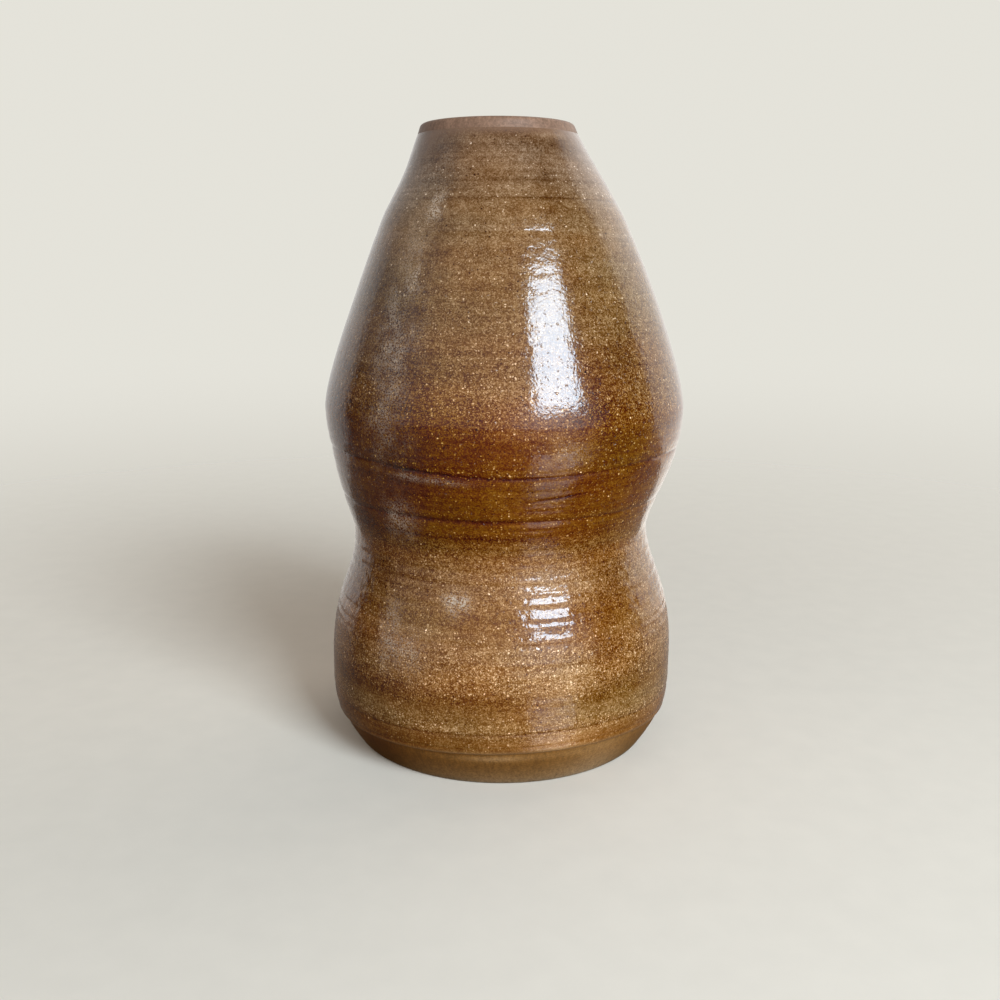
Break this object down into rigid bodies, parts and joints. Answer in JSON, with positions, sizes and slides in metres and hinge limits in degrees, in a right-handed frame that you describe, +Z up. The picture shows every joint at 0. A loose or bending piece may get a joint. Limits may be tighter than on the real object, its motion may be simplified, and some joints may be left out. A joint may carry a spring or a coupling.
{
  "type": "stoneware vase",
  "caption": "Wheel-thrown stoneware vase with a lower bulb, a drawn-in waist, a fuller belly and a small mouth, glazed outside and in, with a bare foot band and lip.",
  "frame": {"origin": "centre of the foot, on the surface that the vase stands on", "axes": "+Z up along the axis that the vase was thrown about; -Y faces the viewer"},
  "size_m": [0.1146, 0.1146, 0.195],
  "materials": {
    "bare_stoneware": "satin, toasted tan-brown, fine vertical rubbing",
    "amber_glaze": "glossy speckled amber-brown with an orange-peel surface",
    "liner_glaze": "glossy dark brown"
  },
  "bodies": {
    "root": {"clay_body": "bare_stoneware", "outer_glaze": "amber_glaze", "liner_glaze": "liner_glaze"}
  },
  "joints": []
}
